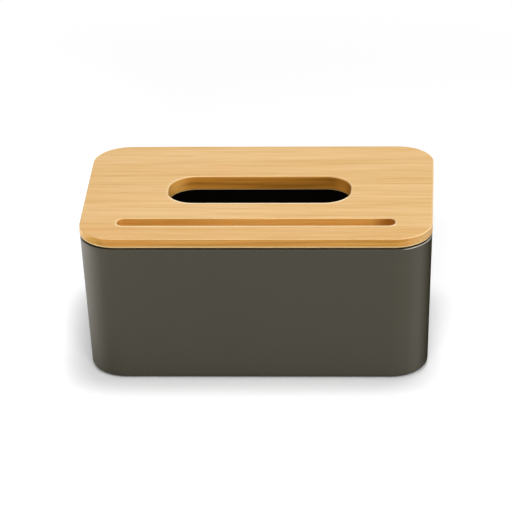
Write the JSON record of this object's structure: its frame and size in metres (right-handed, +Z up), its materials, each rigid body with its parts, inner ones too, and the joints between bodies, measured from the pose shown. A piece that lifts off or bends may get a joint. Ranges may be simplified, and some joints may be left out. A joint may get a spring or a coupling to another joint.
{
  "type": "tissue box",
  "caption": "Rectangular tissue box: a tapered plastic tub with a lift-off wooden lid that has a rounded tissue opening and a shallow groove for standing a phone in.",
  "frame": {"origin": "centre of the footprint, on the surface that the pads stand on", "axes": "+X to the right along the long side, +Y to the back, +Z up; the phone groove is on the -Y side"},
  "size_m": [0.225, 0.143, 0.102],
  "materials": {
    "tub_plastic": "fine matt moulded surface, warm dark grey",
    "lid_wood": "pale honey wood, fine straight grain along the length, satin oil",
    "pad_rubber": "soft matt foam rubber"
  },
  "bodies": {
    "base": {"tub": "tub_plastic", "pad_front_left": "pad_rubber", "pad_front_right": "pad_rubber", "pad_rear_left": "pad_rubber", "pad_rear_right": "pad_rubber"},
    "lid": {"lid_board": "lid_wood"}
  },
  "joints": [
    {"name": "lid_lift", "type": "slide", "parent": "base", "child": "lid", "axis": [0, 0, 1], "range_m": [0, 0.1]}
  ]
}
